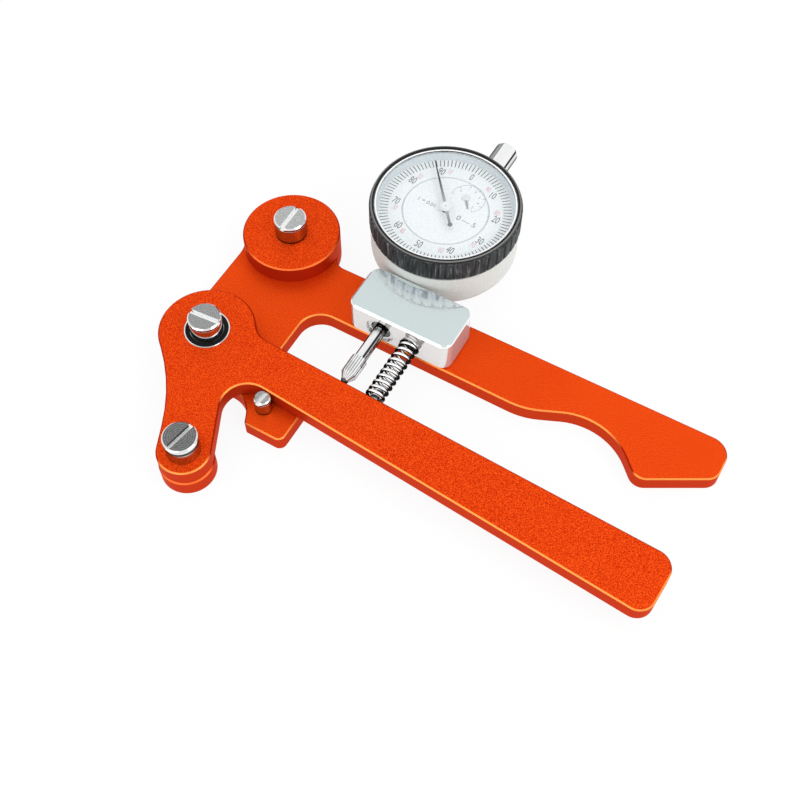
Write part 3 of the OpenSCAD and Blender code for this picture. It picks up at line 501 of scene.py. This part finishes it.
# Painted reflections round a rod, as greys: (place from its -X side over the top to its +X side, grey).
SPINDLE_REFLECTION_BANDS = [(0.25, 0.02), (0.28, 0.95), (0.62, 0.95), (0.65, 0.02), (0.74, 0.02), (0.77, 0.75),
                 (0.93, 0.85), (0.97, 0.15)]
TUBE_REFLECTION_BANDS = [(0.20, 0.14), (0.25, 0.45), (0.36, 0.42), (0.385, 0.16), (0.41, 0.97), (0.78, 0.97),
              (0.795, 0.02), (0.845, 0.02), (0.86, 0.97), (0.96, 0.9), (0.985, 0.4)]
MATERIALS = {
    "orange": anodised_orange("anodised_orange", CHAMFER_HIGHLIGHT_ORANGE, 0.0),
    "base_orange": anodised_orange("base_orange", CHAMFER_HIGHLIGHT_ORANGE, 0.16),
    "disc_orange": anodised_orange("disc_orange", DISC_CHAMFER_HIGHLIGHT, 0.0),
    "steel": plain_metal("steel", STEEL, 0.22),
    "polished_steel": drawn_rod("polished_steel", SPINDLE_REFLECTION_BANDS),
    "tube_steel": drawn_rod("tube_steel", TUBE_REFLECTION_BANDS, 0.2),
    "stem_steel": plain_metal("stem_steel", (0.72, 0.72, 0.71, 1), 0.16),
    "dark_steel": plain_metal("dark_steel", (0.10, 0.10, 0.11, 1), 0.3),
    "sleeve_steel": knurled_steel(),
    "spring_steel": wound_steel(),
    "bright_steel": plain_metal("bright_steel", (0.90, 0.90, 0.90, 1), 0.14),
    "satin": satin_aluminium(),
    "case_grey": painted("case_grey", (0.69, 0.71, 0.68, 1), 0.45, metallic=0.1, shine=0.2),
    "bezel_black": moulded_bezel(),
    "reflector": painted("reflector", (0.62, 0.66, 0.68, 1), 0.4),
    "brass": plain_metal("brass", BRASS, 0.25),
    "blue_steel": plain_metal("blue_steel", (0.08, 0.14, 0.32, 1), 0.25),
    "rubber": painted("rubber", (0.010, 0.010, 0.010, 1), 0.6, shine=0.08),
    "dial_white": painted("dial_white", (0.82, 0.835, 0.835, 1), 0.5, shine=0.2),
    "ink": ink("ink", (0.022, 0.023, 0.025, 1)),
    "number_ink": ink("number_ink", (0.14, 0.145, 0.15, 1)),
    "red_ink": ink("red_ink", (0.74, 0.44, 0.46, 1)),
    "note_ink": ink("note_ink", (0.24, 0.25, 0.26, 1)),
    "pale_ink": ink("pale_ink", (0.40, 0.42, 0.43, 1)),
    "main_hand": two_tone_hand("main_hand_paint", DIAL, 1.65 * MM),
    "counter_hand": two_tone_hand("counter_hand_paint", COUNTER, 1.05 * MM),
    "arbor_brass": tipped_brass(),
    # white of the painted highlight on the crystal's edge
    "edge_highlight_white": painted("edge_highlight_white", (0.93, 0.94, 0.94, 1), 0.3),
    "glass": clear_glass(),
    # The last two numbers: the grey of the post's end, as painted light, and of its slot's walls, as painted
    # shade where low.
    "head_steel": turned_steel("head_steel", "head_post", "head_disc", 0.20 * MM, 0.10, 0.52, 1.0),
    "pivot_steel": turned_steel("pivot_steel", "pivot_post", "bearing_inner_ring", 0.55 * MM, 0.4, 0.40, 1.0),
    "foot_steel": turned_steel("foot_steel", "foot_post", "foot_disc", 0.62 * MM, 0.6, 0.24, 0.05),
    "stop_steel": turned_steel("stop_steel", "stop_pin", "base_plate", 0.25 * MM, 0.15, 0.4, 0.6),
}

NODE_MATERIALS = {
    "disc_orange": ["head_disc", "foot_disc"],
    "head_steel": ["head_post"],
    "pivot_steel": ["pivot_post"],
    "foot_steel": ["foot_post"],
    "stop_steel": ["stop_pin"],
    "bright_steel": ["bearing_outer_ring"],
    "steel": ["pivot_spacer", "spring_pin", "bearing_inner_ring", "bearing_balls",
              "back_cover", "plunger_spring", "bezel_clip", "block_screws"],
    "polished_steel": ["spindle"],
    "tube_steel": ["rear_tube"],
    "stem_steel": ["indicator_stem"],
    "sleeve_steel": ["contact_point"],
    "dark_steel": ["clamp_screw", "back_screws"],
    "case_grey": ["indicator_case"],
    "bezel_black": ["bezel"],
    "brass": ["movement_plate", "movement_bridge", "rack_arbor"],
    "arbor_brass": ["centre_arbor", "counter_arbor"],
    "blue_steel": ["hairspring"],
    "rubber": ["bearing_seals"],
    "dial_white": ["dial_centre", "dial_ring"],
    "main_hand": ["main_hand"],
    "counter_hand": ["counter_hand"],
    "reflector": ["glare_ring"],
    "glass": ["crystal"],
}


def paint(thing, material):
    thing.data.materials.clear()
    thing.data.materials.append(MATERIALS[material])


for material_name, members in NODE_MATERIALS.items():
    for member in members:
        paint(node_of[member], material_name)

# ---- pieces that stand for CAD nodes ----

MERGE_DISTANCE = 0.001 * MM
FLAT_ANGLE = math.radians(0.1)        # faces that lean less than this are one face
SHARP_ANGLE = math.radians(30)        # edges that turn more than this stay sharp


def mesh_from(shape, name):
    """The mesh of a bmesh, which is freed."""
    mesh = bpy.data.meshes.new(name)
    shape.to_mesh(mesh)
    shape.free()
    return mesh


def new_piece(name, mesh, material, body):
    """Links a mesh as a piece of the object that rides on a body."""
    piece = bpy.data.objects.new(name, mesh)
    bpy.context.scene.collection.objects.link(piece)
    paint(piece, material)
    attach(piece, body)
    return piece


def smooth_copy(node, body, material):
    """A copy of a faceted node whose round walls are shaded as round."""
    shape = bmesh.new()
    shape.from_mesh(node_of[node].data)
    bmesh.ops.remove_doubles(shape, verts=shape.verts, dist=MERGE_DISTANCE)
    bmesh.ops.dissolve_limit(shape, angle_limit=FLAT_ANGLE, verts=shape.verts, edges=shape.edges)
    for face in shape.faces:
        face.smooth = True
    for edge in shape.edges:
        if len(edge.link_faces) != 2 or edge.calc_face_angle(0) > SHARP_ANGLE:
            edge.smooth = False
    piece = new_piece(node + "_skin", mesh_from(shape, node + "_skin"), material, body)
    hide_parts(node)


smooth_copy("base_plate", "frame", "base_orange")
smooth_copy("lever", "lever", "orange")
smooth_copy("indicator_block", "frame", "satin")

# ---- return spring ----

SPRING_WIRE = 0.9 * MM
SPRING_TURNS = 15
CLOSED_TURNS = 1.0                    # at either end, where each turn lies on the next
COIL_STEPS = 40                       # sections along one turn
WIRE_SIDES = 14


def coil_mesh(name, start, length, radius):
    """Round wire wound about +Y, closed at both ends."""
    shape = bmesh.new()
    rings = []
    active = SPRING_TURNS - 2 * CLOSED_TURNS
    closed_length = CLOSED_TURNS * SPRING_WIRE
    for i in range(SPRING_TURNS * COIL_STEPS + 1):
        turn = i / COIL_STEPS
        if turn < CLOSED_TURNS:
            along = turn * SPRING_WIRE
        elif turn > SPRING_TURNS - CLOSED_TURNS:
            along = length - (SPRING_TURNS - turn) * SPRING_WIRE
        else:
            along = closed_length + (turn - CLOSED_TURNS) * (length - 2 * closed_length) / active
        angle = math.tau * turn
        ring = []
        for k in range(WIRE_SIDES):
            around = math.tau * k / WIRE_SIDES
            reach = radius + SPRING_WIRE / 2 * math.cos(around)
            ring.append(shape.verts.new((start.x + reach * math.cos(angle),
                                         start.y + along + SPRING_WIRE / 2 * math.sin(around),
                                         start.z - reach * math.sin(angle))))
        rings.append(ring)
    for first, second in zip(rings, rings[1:]):
        for k in range(WIRE_SIDES):
            j = (k + 1) % WIRE_SIDES
            shape.faces.new((first[k], second[k], second[j], first[j])).smooth = True
    shape.faces.new(rings[0])
    shape.faces.new(reversed(rings[-1]))
    bmesh.ops.recalc_face_normals(shape, faces=shape.faces)
    return mesh_from(shape, name)


spring_low, spring_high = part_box("return_spring")
spring_axis = (spring_low + spring_high) / 2
spring_length = spring_high.y - spring_low.y
spring_start = Vector((spring_axis.x, spring_low.y + SPRING_WIRE / 2, spring_axis.z))
spring_mesh = coil_mesh("spring_coil", spring_start, spring_length - SPRING_WIRE,
                        (spring_high.x - spring_low.x - SPRING_WIRE) / 2)
spring = new_piece("spring_coil", spring_mesh, "spring_steel", "frame")
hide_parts("return_spring")
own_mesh(spring)

# ---- dial print ----

ORIGIN = Vector((0, 0, 0))
TYPE_TURN = math.radians(-3)          # all figures stand parallel, turned by this


def on_dial(radius, angle, centre=DIAL):
    """Point of the dial plane at an angle clockwise from +Y."""
    turn = math.radians(angle)
    return Vector((centre.x + radius * math.sin(turn), centre.y + radius * math.cos(turn), 0))


def print_mesh(name, polygons, material, body):
    """Flat print on the dial: outlines of points, all facing up."""
    shape = bmesh.new()
    for points in polygons:
        face = shape.faces.new([shape.verts.new((p.x, p.y, PRINT_LEVEL)) for p in points])
        face.normal_update()
        if face.normal.z < 0:
            face.normal_flip()
    return new_piece(name, mesh_from(shape, name), material, body)


def tick(inner, outer, angle, width, centre=DIAL):
    """Outline of a line that points away from a centre."""
    direction = on_dial(1, angle, ORIGIN)
    side = Vector((direction.y, -direction.x, 0)) * width / 2
    a, b = on_dial(inner, angle, centre), on_dial(outer, angle, centre)
    return [a - side, a + side, b + side, b - side]


def arc_band(inner, outer, start, end, centre=DIAL, steps=96):
    """Outlines that make up a ring or part of one."""
    quads = []
    for i in range(steps):
        a = start + (end - start) * i / steps
        b = start + (end - start) * (i + 1) / steps
        quads.append([on_dial(inner, a, centre), on_dial(outer, a, centre),
                      on_dial(outer, b, centre), on_dial(inner, b, centre)])
    return quads


def text_piece(name, words, place, size, material, body, squeeze=1.0, offset=0.0):
    """Plain figures printed on the dial, centred on a place; squeeze narrows and offset thickens them."""
    curve = bpy.data.curves.new(name, "FONT")
    curve.body = words
    curve.size = size
    curve.align_x = "CENTER"
    curve.align_y = "CENTER"
    curve.offset = offset
    curve.resolution_u = 4
    holder = bpy.data.objects.new(name + "_type", curve)
    bpy.context.scene.collection.objects.link(holder)
    bpy.context.view_layer.update()
    mesh = bpy.data.meshes.new_from_object(holder)
    bpy.data.objects.remove(holder)
    mesh.name = name
    c, s = math.cos(TYPE_TURN), math.sin(TYPE_TURN)
    for vertex in mesh.vertices:
        x, y = vertex.co.x * squeeze, vertex.co.y
        vertex.co = (place.x + x * c - y * s, place.y + x * s + y * c, PRINT_LEVEL)
    return new_piece(name, mesh, material, body)


FACE_TURN = 2.4                       # degrees that the face is turned clockwise
DIVISIONS = 100
TICK_START, TICK_END, TICK_WIDTH = 15.4 * MM, 17.7 * MM, 0.18 * MM
NUMBERS = 10
NUMBER_RING = 13.6 * MM
NUMBER_SIZE, NUMBER_SQUEEZE, NUMBER_OFFSET = 3.3 * MM, 0.60, -0.01 * MM
BACK_SIZE, BACK_SQUEEZE = 2.5 * MM, 0.56
BACK_STEP = 10.0                      # degrees between a black number and the red one beside it
ALONE = (0, 5)                        # places without a red number
BACK_AFTER = (3, 4, 8, 9)             # places whose red number comes clockwise after the black one
DIAL_CIRCLE = (11.35 * MM, 11.45 * MM)

print_mesh("dial_ticks", [tick(TICK_START, TICK_END, FACE_TURN + i * 360 / DIVISIONS, TICK_WIDTH)
                          for i in range(DIVISIONS)], "ink", "bezel")
for i in range(NUMBERS):
    value = i * DIVISIONS // NUMBERS
    angle = FACE_TURN + i * 360 / NUMBERS
    text_piece(f"dial_number_{value}", str(value), on_dial(NUMBER_RING, angle), NUMBER_SIZE, "number_ink",
               "bezel", NUMBER_SQUEEZE, NUMBER_OFFSET)
    if i not in ALONE:
        aside = BACK_STEP if i in BACK_AFTER else -BACK_STEP
        text_piece(f"dial_back_number_{value}", str(DIVISIONS - value), on_dial(NUMBER_RING, angle + aside),
                   BACK_SIZE, "red_ink", "bezel", BACK_SQUEEZE)
print_mesh("dial_circle", arc_band(*DIAL_CIRCLE, 0, 360), "pale_ink", "frame")

COUNT_CENTRE = Vector((COUNTER.x + 0.5 * MM, COUNTER.y, 0))
COUNT_START, COUNT_STEP = -92, 38.5   # degrees of the small scale's first tick, and between its ticks
COUNT_NUMBER_START = -62
COUNT_TICKS = 7
COUNT_END = COUNT_START + (COUNT_TICKS - 1) * COUNT_STEP
COUNT_ARC = (4.68 * MM, 4.8 * MM)
COUNT_TICK = (3.9 * MM, 4.7 * MM)
COUNT_TICK_WIDTH = 0.14 * MM
COUNT_NUMBER_RING, COUNT_NUMBER_SIZE, COUNT_NUMBER_SQUEEZE = 3.2 * MM, 1.3 * MM, 0.8
GRADUATION_PLACE, GRADUATION_SIZE = Vector((DIAL.x - 5.7 * MM, DIAL.y, 0)), 1.7 * MM
RANGE_PLACE, RANGE_SIZE = Vector((DIAL.x + 6.6 * MM, DIAL.y - 0.8 * MM, 0)), 2.3 * MM

print_mesh("count_arc", arc_band(*COUNT_ARC, COUNT_START, COUNT_END, COUNT_CENTRE, 48), "pale_ink", "frame")
print_mesh("count_ticks", [tick(*COUNT_TICK, COUNT_START + i * COUNT_STEP, COUNT_TICK_WIDTH, COUNT_CENTRE)
                           for i in range(COUNT_TICKS)], "pale_ink", "frame")
for i in range(COUNT_TICKS - 1):
    place = on_dial(COUNT_NUMBER_RING, COUNT_NUMBER_START + i * COUNT_STEP, COUNT_CENTRE)
    text_piece(f"count_number_{i}", str(i), place, COUNT_NUMBER_SIZE, "pale_ink", "frame",
               COUNT_NUMBER_SQUEEZE)
text_piece("graduation_note", "1 = 0.01", GRADUATION_PLACE, GRADUATION_SIZE, "note_ink", "frame")
text_piece("range_note", "0 \u2014 5", RANGE_PLACE, RANGE_SIZE, "note_ink", "frame")

# ---- painted highlight: a white ring that stands for the bright edge of the crystal, inside the bezel's lip ----

EDGE_INSET = 0.36 * MM                # from the crystal's rim to the middle of the bright edge
EDGE_HALF_WIDTH, EDGE_HALF_HEIGHT = 0.24 * MM, 0.10 * MM
EDGE_LIFT = 0.02 * MM
EDGE_SIDES = 8


def ring_mesh(name, section, centre, steps=144):
    """A closed section of (radius, height) points turned about an upright axis."""
    shape = bmesh.new()
    rings = []
    for i in range(steps):
        turn = math.tau * i / steps
        rings.append([shape.verts.new((centre.x + r * math.cos(turn), centre.y + r * math.sin(turn), z))
                      for r, z in section])
    count = len(section)
    for i in range(steps):
        first, second = rings[i], rings[(i + 1) % steps]
        for k in range(count):
            j = (k + 1) % count
            shape.faces.new((first[k], second[k], second[j], first[j])).smooth = True
    bmesh.ops.recalc_face_normals(shape, faces=shape.faces)
    return mesh_from(shape, name)


crystal_low, crystal_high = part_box("crystal")
crystal_r = (crystal_high.x - crystal_low.x) / 2
edge_turns = [math.tau * k / EDGE_SIDES for k in range(EDGE_SIDES)]
edge_section = [(crystal_r - EDGE_INSET + EDGE_HALF_WIDTH * math.cos(turn),
                 crystal_high.z + EDGE_LIFT + EDGE_HALF_HEIGHT * math.sin(turn)) for turn in edge_turns]
# painted highlight: white ring for the light on the crystal's edge
new_piece("crystal_edge_highlight", ring_mesh("crystal_edge_highlight", edge_section, DIAL), "edge_highlight_white", "bezel")

# ---- studio ----

FLOOR_HALF = 3.0
FLOOR_LEVEL = -0.02 * MM
FLOOR_GLOW = 0.9                      # share of the floor that glows for the camera and in mirrors
TENT_SKY = [(0.0, (1.0, 1.0, 1.0)), (0.5, (0.97, 0.97, 0.97)), (0.8, (0.92, 0.93, 0.93)),
            (1.0, (0.88, 0.89, 0.90))]
TENT_FILL = (1.08, 1.08, 1.08, 1)     # the tent's light on matt surfaces
MIDDLE = (0.06, 0.01, 0.0)            # where the lights point


def area_light(name, place, size, power):
    """A rectangular lamp at a place; its power is in watts."""
    light = bpy.data.lights.new(name, "AREA")
    light.shape = "RECTANGLE"
    light.size, light.size_y = size
    light.energy = power
    holder = bpy.data.objects.new(name, light)
    holder.location = place
    holder.rotation_euler = (Vector(MIDDLE) - Vector(place)).to_track_quat("-Z", "Y").to_euler()
    bpy.context.scene.collection.objects.link(holder)


def white_floor():
    """A plain floor that keeps the object's soft shadow."""
    corners = [(-1, -1), (1, -1), (1, 1), (-1, 1)]
    mesh = bpy.data.meshes.new("floor")
    mesh.from_pydata([(x * FLOOR_HALF, y * FLOOR_HALF, FLOOR_LEVEL) for x, y in corners], [], [(0, 1, 2, 3)])
    floor = bpy.data.objects.new("floor", mesh)
    bpy.context.scene.collection.objects.link(floor)
    material, tree = new_material("floor_white")
    matt = set_shader(tree, Base_Color=grey(0.9), Roughness=0.9).outputs[0]
    glow = add(tree, "ShaderNodeEmission", {"Color": grey(1), "Strength": 1.0}).outputs[0]
    seen = ray_share(tree, "Is Camera Ray", "Is Glossy Ray", "Is Transmission Ray")
    share = calc(tree, "MULTIPLY", seen, FLOOR_GLOW)
    whole = add(tree, "ShaderNodeMixShader", {0: share, 1: matt, 2: glow}).outputs[0]
    plug(tree, find(tree, "OUTPUT_MATERIAL").inputs["Surface"], whole)
    floor.data.materials.append(material)


def tent_world():
    """A light tent: white for the camera, even for diffuse rays, and dimmer overhead in mirrors."""
    world = bpy.data.worlds.new("studio")
    world.use_nodes = True
    bpy.context.scene.world = world
    tree = world.node_tree
    direction = add(tree, "ShaderNodeTexCoord").outputs["Generated"]
    mirrored = ramp(tree, axes(tree, direction)["Z"], TENT_SKY)
    tent = mixed(tree, ray_share(tree, "Is Diffuse Ray"), mirrored, TENT_FILL)
    shown = mixed(tree, ray_share(tree, "Is Camera Ray"), tent, grey(1.0))
    plug(tree, find(tree, "BACKGROUND").inputs["Color"], shown)


white_floor()
tent_world()
area_light("right_box", (0.42, 0.00, 0.36), (0.30, 0.30), 0.7)
area_light("front_strip", (-0.10, -0.55, 0.31), (0.70, 0.16), 0.75)

# ---- camera ----

# The camera's place, aim and lens are fitted to the view that is rebuilt.
CAMERA = Vector((131.677, -127.194, 264.585)) * MM
LOOK_AT = Vector((51.482, 11.708, 0)) * MM
camera_data = bpy.data.cameras.new("camera")
camera_data.sensor_width = 36
camera_data.lens = 53.18
camera_data.clip_start = 0.01
camera = bpy.data.objects.new("camera", camera_data)
camera.location = CAMERA
camera.rotation_euler = (LOOK_AT - CAMERA).to_track_quat("-Z", "Y").to_euler()
bpy.context.scene.collection.objects.link(camera)
bpy.context.scene.camera = camera
bpy.context.scene.view_settings.view_transform = "Standard"
